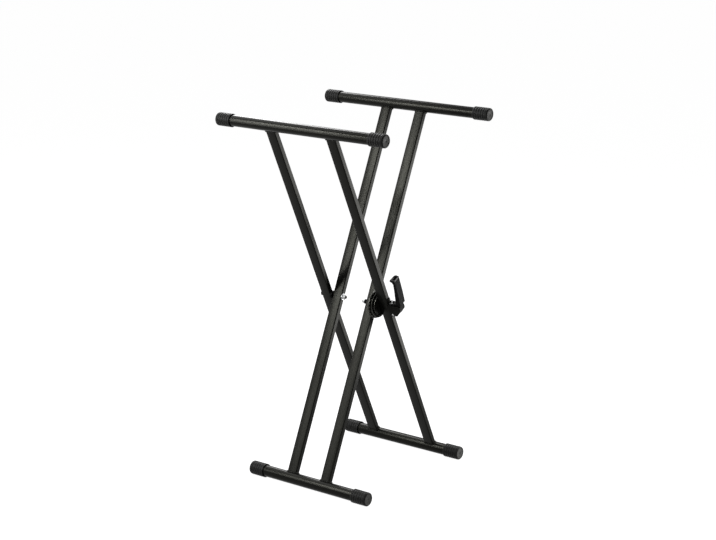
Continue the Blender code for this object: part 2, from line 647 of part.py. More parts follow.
def make_lever(lever_empty, plastic, steel):
    """The release lever, its hinge pin and the pin that pulls the draw plate."""
    # the lever's empty stands on the hinge pin, so its shapes are moved back by that much
    back = (0.0, -(NEAR_FACE_Y - HINGE_OUT), HINGE_DROP)
    grip_start = GRIP_OUTLINE[0][0]
    grip_tip = max(along for along, out in GRIP_OUTLINE)
    foot = -BRACKET_TOE_DROP + LEVER_SIDE_GAP
    brow = BRACKET_DEPTH - LEVER_SIDE_GAP
    under = DRAW_PLATE_START + 3 * FIT
    body_outline = [
        (foot, HINGE_OUT - 2 * CROSS_PIN_RADIUS),
        (foot, BRACKET_TOE_OUT - LEVER_SIDE_GAP),
        (-BRACKET_KNEE_DROP, brow - BRACKET_SHEET / 2),
        (BRACKET_TOP / 2, brow),
        (grip_start + LEVER_WEB, brow + LEVER_WEB),
        (grip_start + LEVER_WEB, GRIP_OUTLINE[0][1] + LEVER_WEB),
        (BRACKET_TOP, DRAW_PLATE_END + LEVER_WEB),
        (BRACKET_TOP / 2, under),
        (-HINGE_DROP + 2.5 * CROSS_PIN_RADIUS, under),
        (-HINGE_DROP + 2 * CROSS_PIN_RADIUS, HINGE_OUT - 2 * CROSS_PIN_RADIUS),
    ]
    lever = piece("release_lever", side_plate(body_outline, LEVER_HALF), plastic, lever_empty, back)

    grip = piece("grip_form", side_plate(GRIP_OUTLINE, GRIP_WIDTH / 2), None, lever_empty, back)
    grip.hide_render = True
    grip.display_type = "WIRE"
    rounding = tongue(GRIP_WIDTH / 2, grip_start - GRIP_WIDTH, grip_tip, GRIP_TIP_ROUND)
    combine(grip, cutter("grip_tongue", rounding, lever_empty, back), "INTERSECT")
    combine(lever, grip, "UNION")

    half = LEVER_HALF - LEVER_SIDE
    web = LEVER_WEB
    cavity = [
        (foot - web, -BRACKET_DEPTH),
        (foot - web, BRACKET_TOE_OUT - 2 * web),
        (-BRACKET_KNEE_DROP, brow - 1.5 * web),
        (BRACKET_TOP / 2, brow - web),
        (grip_start - web, brow - web),
        (grip_start - web, -BRACKET_DEPTH),
    ]
    combine(lever, cutter("lever_cavity", side_plate(cavity, half), lever_empty, back), "DIFFERENCE")
    for label, along, out in (("hinge", -HINGE_DROP, HINGE_OUT), ("draw", 0.0, DRAW_PIN_OUT)):
        drill = cross_rod(CROSS_HOLE_RADIUS, BRACKET_WIDTH, along, out)
        combine(lever, cutter(f"lever_{label}_hole", drill, lever_empty, back), "DIFFERENCE")

    pin_half = BRACKET_WIDTH / 2 + FIT + CROSS_PIN_HEAD / 2
    cross_pin("lever_hinge_pin", lever_empty, pin_half, -HINGE_DROP, HINGE_OUT, steel, back)
    shape = cross_rod(CROSS_PIN_RADIUS, LEVER_HALF, 0.0, DRAW_PIN_OUT)
    piece("draw_pin", shape, steel, lever_empty, back)


def tongue(half_width, low, high, corner):
    """A plate across the lever whose upper corners are rounded off."""
    shape = bmesh.new()
    points = [(-half_width, low), (half_width, low)]
    steps = 4
    for side, start in ((1, 0.0), (-1, math.pi / 2)):
        for index in range(steps + 1):
            angle = start + (math.pi / 2) * index / steps
            points.append((
                side * (half_width - corner) + corner * math.cos(angle),
                high - corner + corner * math.sin(angle),
            ))
    near, far = NEAR_FACE_Y - 2 * BRACKET_DEPTH, NEAR_FACE_Y
    corners = [shape.verts.new((across, near, along)) for across, along in points]
    face = shape.faces.new(corners)
    pushed = bmesh.ops.extrude_face_region(shape, geom=[face])["geom"]
    moved = [part for part in pushed if isinstance(part, bmesh.types.BMVert)]
    bmesh.ops.translate(shape, verts=moved, vec=(0, far - near, 0))
    return shape


def build():
    """Put the stand together."""
    clear_scene()
    black = finish("black_powder_coat", (0.020, 0.020, 0.019), 0.38, 0.0)
    rubber = finish("black_rubber", (0.016, 0.016, 0.016), 0.78, 0.0)
    plastic = finish("black_plastic", (0.018, 0.018, 0.018), 0.50, 0.0)
    steel = finish("zinc_plated_steel", (0.62, 0.62, 0.60), 0.32, 1.0)

    axis = (0.0, 0.0, PIVOT_HEIGHT)
    outer = empty_at("outer_frame", axis, -LEAN)
    inner = empty_at("inner_frame", axis, LEAN)
    slider = empty_at("clutch_slider", (0, 0, 0), parent=outer)
    hinge_place = (0.0, NEAR_FACE_Y - HINGE_OUT, -HINGE_DROP)
    lever_empty = empty_at("lever_hinge", hinge_place, parent=outer)

    release_holes = (
        (PIN_HOLE_RADIUS, RELEASE_PIN_SPACING / 2, True),
        (PIN_HOLE_RADIUS, -RELEASE_PIN_SPACING / 2, True),
        (SCREW_HOLE_RADIUS, SCREW_RISE, False),
    )
    outer_legs = (("far", OUTER_LEG_Y), ("near", -OUTER_LEG_Y))
    inner_legs = (("far", INNER_FAR_LEG_Y), ("near", INNER_NEAR_LEG_Y))
    make_frame("outer", outer, outer_legs, LEAN, black, rubber, steel, release_holes)
    make_frame("inner", inner, inner_legs, -LEAN, black, rubber, steel, ())
    make_far_pivot(outer, black, plastic, steel)
    make_near_pivot(outer, inner, plastic, steel)
    disc_front = make_clutch(outer, inner, slider, black, steel)
    make_release_pins(slider, disc_front, steel)
    make_draw_plate(slider, steel)
    make_bracket(outer, black, steel)
    make_lever(lever_empty, plastic, steel)


build()
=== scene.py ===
"""The looks of a folding keyboard stand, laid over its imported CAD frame."""
import json
import math

import bmesh
import bpy
from mathutils import Matrix, Vector


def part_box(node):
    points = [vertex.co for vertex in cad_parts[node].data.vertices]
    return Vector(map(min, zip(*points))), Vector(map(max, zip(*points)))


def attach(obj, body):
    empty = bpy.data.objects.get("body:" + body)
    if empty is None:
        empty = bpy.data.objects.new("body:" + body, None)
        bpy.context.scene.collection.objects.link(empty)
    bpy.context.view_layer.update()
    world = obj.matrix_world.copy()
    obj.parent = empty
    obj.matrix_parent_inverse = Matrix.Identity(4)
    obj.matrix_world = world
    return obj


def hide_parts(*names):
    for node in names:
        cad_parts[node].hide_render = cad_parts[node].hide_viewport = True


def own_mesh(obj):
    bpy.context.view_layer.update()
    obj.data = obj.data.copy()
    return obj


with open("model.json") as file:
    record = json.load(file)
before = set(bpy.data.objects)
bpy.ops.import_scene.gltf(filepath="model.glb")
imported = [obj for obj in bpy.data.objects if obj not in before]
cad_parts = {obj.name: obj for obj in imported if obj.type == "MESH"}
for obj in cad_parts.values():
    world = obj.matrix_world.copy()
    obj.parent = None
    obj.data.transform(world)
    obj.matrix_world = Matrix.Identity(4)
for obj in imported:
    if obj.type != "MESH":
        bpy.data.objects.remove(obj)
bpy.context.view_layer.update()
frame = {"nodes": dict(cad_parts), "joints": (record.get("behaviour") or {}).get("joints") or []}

# Rails: the two round tubes of each frame, steel with a wall of a millimetre and
# a half, cut square and powder coated black. The legs are welded to them, and
# everything else is placed from the fold axis and from these tubes.
fold = next(joint for joint in frame["joints"] if joint["name"] == "fold")
PIVOT = Vector(fold["pos_m"])


def middle(node):
    """The middle of a CAD node's box."""
    low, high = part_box(node)
    return (low + high) / 2


to_upper = middle("outer_upper_rail") - PIVOT
to_lower = middle("outer_lower_rail") - PIVOT
LEAN = math.atan2(abs(to_upper.x), to_upper.z)
UPPER_REACH = to_upper.length
LOWER_REACH = to_lower.length
UPRIGHT = {
    "outer": Matrix.Translation(PIVOT) @ Matrix.Rotation(-LEAN, 4, "Y"),
    "inner": Matrix.Translation(PIVOT) @ Matrix.Rotation(LEAN, 4, "Y"),
}
RAIL_WALL = 0.0015
TUBE_EASE = 0.0003
ROUND_STEPS = 96
MERGE = 0.000002


class Wire:
    """A shader socket. Sums, differences and products of wires add their own Math nodes."""

    def __init__(self, tree, socket=None):
        self.tree = tree
        self.socket = socket

    def add(self, kind, output=0, settings=None, **inputs):
        """Add a node: its settings, then its socket values. _0 is a socket by number."""
        made = self.tree.nodes.new("ShaderNode" + kind)
        for key, value in (settings or {}).items():
            if key == "stops":
                ramp = made.color_ramp.elements
                while len(ramp) < len(value):
                    ramp.new(1.0)
                for element, (place, shade) in zip(ramp, value):
                    element.position = place
                    element.color = (shade, shade, shade, 1.0)
            else:
                setattr(made, key, value)
        for key, value in inputs.items():
            key = int(key[1:]) if key[0] == "_" else key.replace("_", " ")
            if isinstance(value, Wire):
                self.tree.links.new(value.socket, made.inputs[key])
            else:
                made.inputs[key].default_value = value
        return Wire(self.tree, made.outputs[output])

    def math_node(self, operation, *terms):
        """One Math node, for wires and plain numbers alike."""
        places = {f"_{index}": term for index, term in enumerate(terms)}
        return self.add("Math", settings={"operation": operation}, **places)

    def __add__(self, other):
        return self.math_node("ADD", self, other)

    __radd__ = __add__

    def __mul__(self, other):
        return self.math_node("MULTIPLY", self, other)

    __rmul__ = __mul__

    def __sub__(self, other):
        return self.math_node("SUBTRACT", self, other)

    def __rsub__(self, other):
        return self.math_node("SUBTRACT", other, self)

    def blend(self, low, high):
        """A colour that goes from low to high as this wire goes from 0 to 1."""
        settings = {"data_type": "RGBA"}
        return self.add("Mix", 2, settings, _0=self, _6=(*low, 1), _7=(*high, 1))


def new_finish(name):
    """A material with its Principled shader, and a wire to build its nodes on."""
    material = bpy.data.materials.new(name)
    material.use_nodes = True
    tree = material.node_tree
    return material, tree.nodes["Principled BSDF"], Wire(tree)


def feed(wire, shader, name):
    """Lead a wire into one of the shader's sockets."""
    wire.tree.links.new(wire.socket, shader.inputs[name])


def noise(wire, place, scale, detail=2.0, rough=0.5):
    """Noise in object space, about 0 to 1, with its grain set per metre."""
    return wire.add(
        "TexNoise", 0, None, Vector=place, Scale=scale, Detail=detail, Roughness=rough
    )


def powder_coat(name, shade, roughness, sheen, peel):
    """Baked black powder coat: slightly uneven gloss over a fine orange peel."""
    material, shader, wire = new_finish(name)
    place = wire.add("TexCoord", "Object")
    cloud = noise(wire, place, scale=11.0, detail=3.0)
    orange = noise(wire, place, scale=620.0, detail=2.0, rough=0.45)
    specks = noise(wire, place, scale=2300.0, detail=1.0)
    dust = specks.add("ValToRGB", settings={"stops": [(0.66, 0.0), (0.74, 1.0)]}, Fac=specks)
    low = tuple(0.75 * part for part in shade)
    high = tuple(1.35 * part for part in shade)
    feed((cloud * 0.8 + dust * 0.2).blend(low, high), shader, "Base Color")
    # The two noises add about 0.06 to the roughness, so that much comes off it.
    feed(cloud * 0.10 + orange * 0.03 + (roughness - 0.06), shader, "Roughness")
    height = orange * 0.8 + specks * 0.2
    bump = wire.add("Bump", 0, None, Strength=peel, Distance=0.00025, Height=height)
    feed(bump, shader, "Normal")
    shader.inputs["Specular IOR Level"].default_value = sheen
    shader.inputs["Specular Tint"].default_value = (1.0, 1.0, 0.86, 1.0)
    return material


BLACK_COAT = (0.0048, 0.0048, 0.0043)
coat = powder_coat("black_powder_coat", BLACK_COAT, roughness=0.20, sheen=0.062, peel=0.012)


def turned(profile, steps=ROUND_STEPS):
    """Spin a closed line of (radius, along) points about the Y axis."""
    shape = bmesh.new()
    ring = [shape.verts.new((radius, along, 0.0)) for radius, along in profile]
    hollow = min(radius for radius, along in profile) > 0
    count = len(ring) if hollow else len(ring) - 1
    edges = [shape.edges.new((ring[i], ring[(i + 1) % len(ring)])) for i in range(count)]
    bmesh.ops.spin(
        shape, geom=ring + edges, cent=(0, 0, 0), axis=(0, 1, 0),
        angle=2 * math.pi, steps=steps, use_merge=True, use_duplicate=False,
    )
    bmesh.ops.remove_doubles(shape, verts=shape.verts, dist=MERGE)
    return shape


def settle(name, shape, place, finish, body, stands_for=(), edge=0.0, sharp=32):
    """Put a finished shape in the stand: its place goes in its mesh, and it rides."""
    bmesh.ops.transform(shape, matrix=place, verts=shape.verts)
    bmesh.ops.recalc_face_normals(shape, faces=shape.faces)
    mesh = bpy.data.meshes.new(name)
    shape.to_mesh(mesh)
    shape.free()
    mesh.materials.append(finish)
    made = bpy.data.objects.new(name, mesh)
    bpy.context.collection.objects.link(made)
    if edge:
        rounding = made.modifiers.new("edges", "BEVEL")
        rounding.width = edge
        rounding.segments = 2
        rounding.limit_method = "ANGLE"
        rounding.angle_limit = math.radians(30)
        rounding.harden_normals = True
    mesh.shade_smooth()
    mesh.set_sharp_from_angle(angle=math.radians(sharp))
    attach(made, body)
    if stands_for:
        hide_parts(*stands_for)
    return made


rails = {}
for prefix in ("outer", "inner"):
    for level, height in (("upper", UPPER_REACH), ("lower", -LOWER_REACH)):
        node = f"{prefix}_{level}_rail"
        low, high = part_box(node)
        radius, half = (high.z - low.z) / 2, (high.y - low.y) / 2
        rails[prefix, level] = (height, radius, half)
        tube = turned([
            (radius - RAIL_WALL, -half), (radius - TUBE_EASE, -half), (radius, -half + TUBE_EASE),
            (radius, half - TUBE_EASE), (radius - TUBE_EASE, half), (radius - RAIL_WALL, half),
        ])
        place = UPRIGHT[prefix] @ Matrix.Translation((0, 0, height))
        body = f"{prefix}_frame"
        settle(f"{node}_tube", tube, place, coat, body, [node])

# Legs: rectangular steel tube, thirty by fifteen millimetres, with small rolled
# corners. Each end is notched to sit on its rail and is welded all round, and
# the coating runs over the bead.
leg_coat = powder_coat("black_leg_coat", BLACK_COAT, roughness=0.26, sheen=0.058, peel=0.14)
LEG_CORNER = 0.0024
LEG_GAP = 0.0001
LEG_CUTS = (-0.0036, -0.0018, 0.0, 0.0018, 0.0036)
OUTLINE_STEPS = 720
BEAD = 0.0028
BEAD_STEPS = 110
BEAD_LIFT = 0.25
RIPPLE = (0.84, 0.9392, 1.0, 0.9552)


def cut_across(shape, place, normal):
    """Cut a shape's faces along a plane, so that they can bend there."""
    every = shape.verts[:] + shape.edges[:] + shape.faces[:]
    bmesh.ops.bisect_plane(shape, geom=every, plane_co=place, plane_no=normal)


def end_on_rail(shape, height, radius):
    """Draw one end of a leg on to the curve of its rail, across its cuts."""
    side = math.copysign(1.0, height)
    for vert in shape.verts:
        if abs(vert.co.z - height) < radius:
            drop = math.sqrt((radius + LEG_GAP) ** 2 - vert.co.x ** 2)
            vert.co.z = height - side * drop


def rounded_outline(thickness, width, corner, count):
    """Points round a rectangle with round corners, evenly spaced along its edge."""
    half_x, half_y = thickness / 2 - corner, width / 2 - corner
    points = []
    for step in range(OUTLINE_STEPS):
        angle = 2 * math.pi * step / OUTLINE_STEPS
        way = Vector((math.cos(angle), math.sin(angle)))
        to_side = (half_x + corner) / max(abs(way.x), 1e-9)
        to_end = (half_y + corner) / max(abs(way.y), 1e-9)
        spot = way * min(to_side, to_end)
        core = Vector((max(-half_x, min(half_x, spot.x)), max(-half_y, min(half_y, spot.y))))
        away = spot - core
        if away.x and away.y:
            spot = core + away.normalized() * corner
        points.append(spot)
    lengths = [0.0]
    for first, second in zip(points, points[1:] + points[:1]):
        lengths.append(lengths[-1] + (second - first).length)
    picked = []
    cursor = 0
    for index in range(count):
        wanted = lengths[-1] * index / count
        while lengths[cursor + 1] < wanted:
            cursor += 1
        picked.append(points[cursor])
    return picked


def swept(curve):
    """The round wire or bead that a curve draws, as a shape."""
    holder = bpy.data.objects.new(curve.name, curve)
    bpy.context.collection.objects.link(holder)
    scrap = bpy.data.meshes.new_from_object(holder)
    bpy.data.objects.remove(holder)
    shape = bmesh.new()
    shape.from_mesh(scrap)
    bpy.data.meshes.remove(scrap)
    return shape


def weld_bead(name, place, centre_y, thickness, width, height, radius, body):
    """A weld bead round a leg's end, laid as a row of overlapping ripples."""
    side = math.copysign(1.0, height)
    outline = rounded_outline(thickness, width, LEG_CORNER, BEAD_STEPS)
    curve = bpy.data.curves.new(name, "CURVE")
    curve.dimensions = "3D"
    curve.bevel_depth = BEAD
    curve.bevel_resolution = 2
    line = curve.splines.new("POLY")
    line.use_cyclic_u = True
    line.points.add(BEAD_STEPS - 1)
    for index, (point, spot) in enumerate(zip(line.points, outline)):
        z = height - side * math.sqrt(radius ** 2 - spot.x ** 2)
        point.co = (spot.x, centre_y + spot.y, z - side * BEAD * BEAD_LIFT, 1.0)
        point.radius = RIPPLE[index % len(RIPPLE)]
    shape = swept(curve)
    bmesh.ops.remove_doubles(shape, verts=shape.verts, dist=MERGE)
    settle(name, shape, place, leg_coat, body, sharp=60)


for prefix in ("outer", "inner"):
    body = f"{prefix}_frame"
    for end in ("far", "near"):
        node = f"{prefix}_leg_{end}"
        low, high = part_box(node)
        centre_y, width = (low.y + high.y) / 2, high.y - low.y
        thickness = width / 2
        top, foot = rails[prefix, "upper"], rails[prefix, "lower"]
        leg = bmesh.new()
        bmesh.ops.create_cube(leg, size=1.0)
        bmesh.ops.scale(leg, vec=(thickness, width, top[0] - foot[0]), verts=leg.verts)
        bmesh.ops.translate(leg, vec=(0, 0, (top[0] + foot[0]) / 2), verts=leg.verts)
        corners = [e for e in leg.edges if abs(e.verts[0].co.z - e.verts[1].co.z) > width]
        bmesh.ops.bevel(
            leg, geom=corners, offset=LEG_CORNER, segments=5, profile=0.5,
            affect="EDGES", material=-1,
        )
        for cut in LEG_CUTS:
            cut_across(leg, (cut, 0, 0), (1, 0, 0))
        for height, radius, half in (top, foot):
            end_on_rail(leg, height, radius)
        bmesh.ops.translate(leg, vec=(0, centre_y, 0), verts=leg.verts)
        place = UPRIGHT[prefix]
        settle(f"{node}_tube", leg, place, leg_coat, body, [node])
        for level, (height, radius, half) in (("top", top), ("foot", foot)):
            name = f"{node}_{level}_weld"
            weld_bead(name, place, centre_y, thickness, width, height, radius, body)

# Rail ends: moulded rubber cups pushed over the tubes. Each has raised bands for
# grip, a lip that stands clear of the tube, a rounded nose and a sunk end face
# with a dimple where the rubber was fed into the mould. The end face is painted
# paler: painted light that stands in for the lamps falling on it.
CUP_GAP = 0.0003
BAND_COUNT = 5
BAND_DEPTH = 0.0009
BAND_OUTLINE = [(1.0, 0.0), (1.0, 0.22), (0.15, 0.38), (0.0, 0.55), (0.0, 0.72), (0.15, 0.90)]
FIRST_BAND = 0.0055
LAST_BAND = 0.0015
MOUTH_REACH = 0.0035
LIP_DEPTH = 0.0080
LIP_LENGTH = 0.0045
LIP_WALL = 0.0008
NOSE_ROUND = 0.0034
NOSE_STEPS = 5
NOSE_SHRINK = 0.0001
FACE_RIM = 0.0005
FACE_SINK = 0.0010
DIMPLE = 0.0022


def moulded_rubber(name, dark, pale):
    """Matt black rubber with a dusty bloom and a fine grain."""
    material, shader, wire = new_finish(name)
    place = wire.add("TexCoord", "Object")
    cloud = noise(wire, place, scale=60.0, detail=4.0, rough=0.6)
    grain = noise(wire, place, scale=1500.0, detail=2.0)
    scuff = noise(wire, place, scale=240.0, detail=3.0, rough=0.65)
    worn = scuff.add("ValToRGB", settings={"stops": [(0.46, 0.0), (0.62, 1.0)]}, Fac=scuff)
    feed((cloud * 0.55 + worn * 0.45).blend(dark, pale), shader, "Base Color")
    feed(cloud * 0.12 + worn * 0.08 + 0.34, shader, "Roughness")
    height = grain * 0.5 + scuff * 0.5
    feed(wire.add("Bump", 0, None, Strength=0.35, Distance=0.0003, Height=height), shader, "Normal")
    shader.inputs["Specular IOR Level"].default_value = 0.07
    return material


rubber = moulded_rubber("black_rubber", dark=(0.0024, 0.0024, 0.0022), pale=(0.023, 0.023, 0.022))
# A paler copy of the rubber for the sunk end faces: painted light, not a real scuff.
end_face_painted_light_rubber = moulded_rubber(
    "black_rubber_end_face_painted_light", dark=(0.024, 0.024, 0.023), pale=(0.092, 0.092, 0.087)
)


def cup_profile(bore, outer, length, floor):
    """The section of a cup: inside from its floor to its lip, and back outside to its dimple."""
    skin = length - floor + MOUTH_REACH
    line = [(0.0, 0.0), (bore, 0.0), (bore, -skin + LIP_DEPTH)]
    line += [(outer - LIP_WALL, -skin + LIP_DEPTH * 0.8), (outer - LIP_WALL, -skin)]
    line += [(outer - LIP_WALL * 0.3, -skin), (outer, -skin + LIP_WALL * 0.6)]
    line += [(outer, -skin + LIP_LENGTH)]
    start, stop = -skin + FIRST_BAND, floor - NOSE_ROUND - LAST_BAND
    pitch = (stop - start) / BAND_COUNT
    for band in range(BAND_COUNT):
        base = start + band * pitch
        line += [(outer - BAND_DEPTH * sunk, base + pitch * share) for sunk, share in BAND_OUTLINE]
    line += [(outer - BAND_DEPTH * 0.5, stop + 0.0004), (outer - BAND_DEPTH * 0.2, stop + 0.0011)]
    for step in range(NOSE_STEPS + 1):
        angle = math.pi / 2 * step / NOSE_STEPS
        away = NOSE_ROUND * math.cos(angle), NOSE_ROUND * math.sin(angle)
        line.append((outer - NOSE_ROUND + away[0] - NOSE_SHRINK, floor - NOSE_ROUND + away[1]))
    rim = outer - FACE_RIM - NOSE_ROUND
    line += [
        (rim, floor), (rim - 0.0004, floor - FACE_SINK * 0.4), (rim - 0.0006, floor - FACE_SINK)
    ]
    line += [(DIMPLE * 1.5, floor - FACE_SINK), (DIMPLE, floor - FACE_SINK * 1.25)]
    line += [(DIMPLE * 0.4, floor - FACE_SINK * 1.7), (0.0, floor - FACE_SINK * 1.8)]
    return line


for prefix in ("outer", "inner"):
    for level in ("upper", "lower"):
        height, radius, half = rails[prefix, level]
        for end, side in (("far", 1), ("near", -1)):
            node = f"{prefix}_{level}_cap_{end}"
            low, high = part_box(node)
            outer = (high.z - low.z) / 2
            length = high.y - low.y
            seat = half + CUP_GAP
            floor = (high.y if side > 0 else -low.y) - seat
            cup = turned(cup_profile(radius + CUP_GAP, outer, length, floor))
            if side < 0:
                bmesh.ops.scale(cup, vec=(1, -1, 1), verts=cup.verts)
            # The sunk end face outside the dimple takes the paler copy: painted light.
            face_radius = outer - FACE_RIM - NOSE_ROUND
            for face in cup.faces:
                spot = face.calc_center_median()
                on_face = DIMPLE < math.hypot(spot.x, spot.z) < face_radius
                if on_face and abs(spot.y) > floor - FACE_SINK * 2:
                    face.material_index = 1
            place = UPRIGHT[prefix] @ Matrix.Translation((0, side * seat, height))
            body = f"{prefix}_frame"
            piece = settle(f"{node}_rubber", cup, place, rubber, body, [node])
            piece.data.materials.append(end_face_painted_light_rubber)

# Fold axis: a black hexagon bolt holds the two far legs, with a plastic spacer
# between them and a zinc washer and lock nut inside. A thinner zinc bolt holds
# the near legs and the clutch, and its nut stands off on a black plastic bush.
THREAD_PITCH = 0.00125
THREAD_DEPTH = 0.0005
THREAD_TIP = 0.0008
HEAD_CHAMFER = 0.0009
HEAD_ACROSS = 0.015
HEAD_DEPTH = 0.0040
HEAD_GAP = 0.0003
FAR_SHANK = 0.0040
FAR_THREAD = 0.014
FAR_BORE = 0.0043
FAR_COLLAR = 0.0022
FAR_WASHER = 0.0090
FAR_SPACER = 0.0120
NEAR_SHANK = 0.0030
NEAR_THREAD = 0.012
NEAR_BORE = 0.0033
NEAR_COLLAR = 0.0018
NEAR_NUT_ACROSS = 0.0116


def zinc_plate(name):
    """Zinc plating: bright, faintly yellow and blue, with dull patches."""
    material, shader, wire = new_finish(name)
    place = wire.add("TexCoord", "Object")
    cloud = noise(wire, place, scale=130.0, detail=3.0, rough=0.6)
    grain = noise(wire, place, scale=1900.0, detail=2.0)
    feed(cloud.blend((0.20, 0.20, 0.19), (0.52, 0.53, 0.54)), shader, "Base Color")
    feed(cloud * 0.22 + grain * 0.08 + 0.24, shader, "Roughness")
    feed(wire.add("Bump", 0, None, Strength=0.18, Distance=0.0001, Height=grain), shader, "Normal")
    shader.inputs["Metallic"].default_value = 1.0
    return material


def moulded_nylon(name, shade, roughness):
    """Black glass-filled nylon with the fine grain of a spark-eroded mould."""
    material, shader, wire = new_finish(name)
    place = wire.add("TexCoord", "Object")
    cloud = noise(wire, place, scale=45.0, detail=3.0)
    grain = noise(wire, place, scale=2600.0, detail=2.0, rough=0.6)
    rub = noise(wire, place, scale=190.0, detail=4.0, rough=0.7)
    worn = rub.add("ValToRGB", settings={"stops": [(0.55, 0.0), (0.75, 1.0)]}, Fac=rub)
    low = tuple(0.7 * part for part in shade)
    high = tuple(1.5 * part for part in shade)
    feed((cloud * 0.6 + worn * 0.4).blend(low, high), shader, "Base Color")
    feed(cloud * 0.12 + grain * 0.06 - worn * 0.08 + roughness, shader, "Roughness")
    feed(wire.add("Bump", 0, None, Strength=0.30, Distance=0.0002, Height=grain), shader, "Normal")
    shader.inputs["Specular IOR Level"].default_value = 0.016
    return material


zinc = zinc_plate("zinc_plated_steel")
nylon = moulded_nylon("black_plastic", (0.0034, 0.0034, 0.0034), roughness=0.36)
FOLD_AXIS = Matrix.Translation(PIVOT)


def hexagon(across_corners, low, high):
    """A hexagon head or nut along Y, its corners cut back at both ends."""
    shape = bmesh.new()
    bmesh.ops.create_cone(
        shape, cap_ends=True, segments=6, radius1=across_corners / 2,
        radius2=across_corners / 2, depth=high - low,
    )
    bmesh.ops.rotate(shape, matrix=Matrix.Rotation(math.pi / 2, 3, "X"), verts=shape.verts)
    bmesh.ops.translate(shape, vec=(0, (low + high) / 2, 0), verts=shape.verts)
    bmesh.ops.bevel(
        shape, geom=shape.verts[:], offset=HEAD_CHAMFER, segments=1, profile=0.5,
        affect="VERTICES", material=-1,
    )
    return shape


def threaded(radius, start, end, thread_from):
    """A round shank along Y whose last part has the ridges of a thread."""
    step = math.copysign(THREAD_PITCH, end - start)
    line = [(0.0, start), (radius, start), (radius, thread_from)]
    turns = int(abs(end - thread_from) / THREAD_PITCH)
    for turn in range(turns):
        base = thread_from + turn * step
        line += [(radius - THREAD_DEPTH, base + step * 0.5), (radius, base + step)]
    line += [(radius - THREAD_TIP, end), (0.0, end)]
    return turned(line, 32)


def join(*shapes):
    """Several closed shapes as one."""
    whole = shapes[0]
    for shape in shapes[1:]:
        scrap = bpy.data.meshes.new("scrap")
        shape.to_mesh(scrap)
        shape.free()
        whole.from_mesh(scrap)
        bpy.data.meshes.remove(scrap)
    return whole


def washer(inner, outer, low, high):
    """A ring with its outer edges eased."""
    ease = min(0.0004, (high - low) / 4)
    return turned([
        (inner, low), (outer - ease, low), (outer, low + ease),
        (outer, high - ease), (outer - ease, high), (inner, high),
    ], 64)


low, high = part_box("far_pivot_bolt")
head_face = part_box("outer_leg_far")[1].y + HEAD_GAP
far_bolt = join(
    threaded(FAR_SHANK, head_face + HEAD_DEPTH / 2, low.y, low.y + FAR_THREAD),
    hexagon(HEAD_ACROSS, head_face, high.y),
)
settle("far_bolt_body", far_bolt, FOLD_AXIS, coat, "outer_frame",
       ["far_pivot_bolt"])

low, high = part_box("far_pivot_nut")
far_nut = join(
    hexagon(HEAD_ACROSS, low.y + FAR_COLLAR, high.y),
    turned([
        (FAR_BORE, low.y + 0.0004), (FAR_BORE, high.y - 0.001), (0.0064, high.y - 0.001),
        (0.0064, low.y + 0.0008), (0.0056, low.y),
    ], 48),
)
settle("far_nut_body", far_nut, FOLD_AXIS, zinc, "outer_frame",
       ["far_pivot_nut"])

low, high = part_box("far_pivot_washer")
ring = washer(FAR_BORE, FAR_WASHER, low.y, high.y)
settle("far_washer_body", ring, FOLD_AXIS, zinc, "outer_frame",
       ["far_pivot_washer"])

low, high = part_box("far_pivot_spacer")
ring = washer(FAR_BORE, FAR_SPACER, low.y, high.y)
settle("far_spacer_body", ring, FOLD_AXIS, nylon, "outer_frame",
       ["far_pivot_spacer"])

low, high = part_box("clutch_bolt")
near_bolt = join(
    threaded(NEAR_SHANK, low.y + HEAD_DEPTH / 2, high.y, high.y - NEAR_THREAD),
    hexagon(HEAD_ACROSS, low.y, low.y + HEAD_DEPTH),
)
settle("clutch_bolt_body", near_bolt, FOLD_AXIS, zinc, "outer_frame",
       ["clutch_bolt"])

low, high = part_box("clutch_nut")
near_nut = join(
    hexagon(NEAR_NUT_ACROSS, low.y, high.y - NEAR_COLLAR),
    turned([
        (NEAR_BORE, low.y + 0.001), (NEAR_BORE, high.y - 0.0004), (0.0044, high.y),
        (0.0049, high.y - 0.0008), (0.0049, low.y + 0.001),
    ], 48),
)
settle("clutch_nut_body", near_nut, FOLD_AXIS, zinc, "outer_frame",
       ["clutch_nut"])

low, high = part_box("clutch_bush")
bush = turned([
    (NEAR_BORE, low.y), (0.0070, low.y), (0.0070, low.y + 0.0012), (0.0064, low.y + 0.0017),
    (0.0064, high.y - 0.0008), (0.0058, high.y), (NEAR_BORE, high.y),
], 48)
settle("clutch_bush_body", bush, FOLD_AXIS, nylon, "inner_frame",
       ["clutch_bush"])

# Leg sleeves: plain zinc tubes inside the legs, which the bolts clamp. Their CAD
# solids stay as they are and only take the zinc.


def zinc_solids(*nodes):
    """Give the zinc finish to CAD solids that stay as they are."""
    for node in nodes:
        finishes = frame["nodes"][node].data.materials
        finishes.clear()
        finishes.append(zinc)


zinc_solids("outer_sleeve_far", "outer_sleeve_near", "inner_sleeve_far", "inner_sleeve_near")

# Clutch: two pressed steel discs with a ring of face teeth. One is welded to the
# inner leg, the other slides on its release pins and is pushed into mesh by a
# spring. A plain plate on the outer leg guides the pins. All are coated black.
TOOTH_COUNT = 24
TOOTH_HEIGHT = 0.0022
TOOTH_START = 0.025
TOOTH_TAPER = 0.74
RIM_ROUND = 0.0009
FIXED_INSET = 0.00015
SLIDING_INSET = 0.0001
PLATE = 0.0028
GUIDE_RADIUS = 0.0300
GUIDE_EASE = 0.0003
disc_coat = powder_coat(
    "black_clutch_coat", (0.0045, 0.0045, 0.0040), roughness=0.26, sheen=0.26, peel=0.14
)


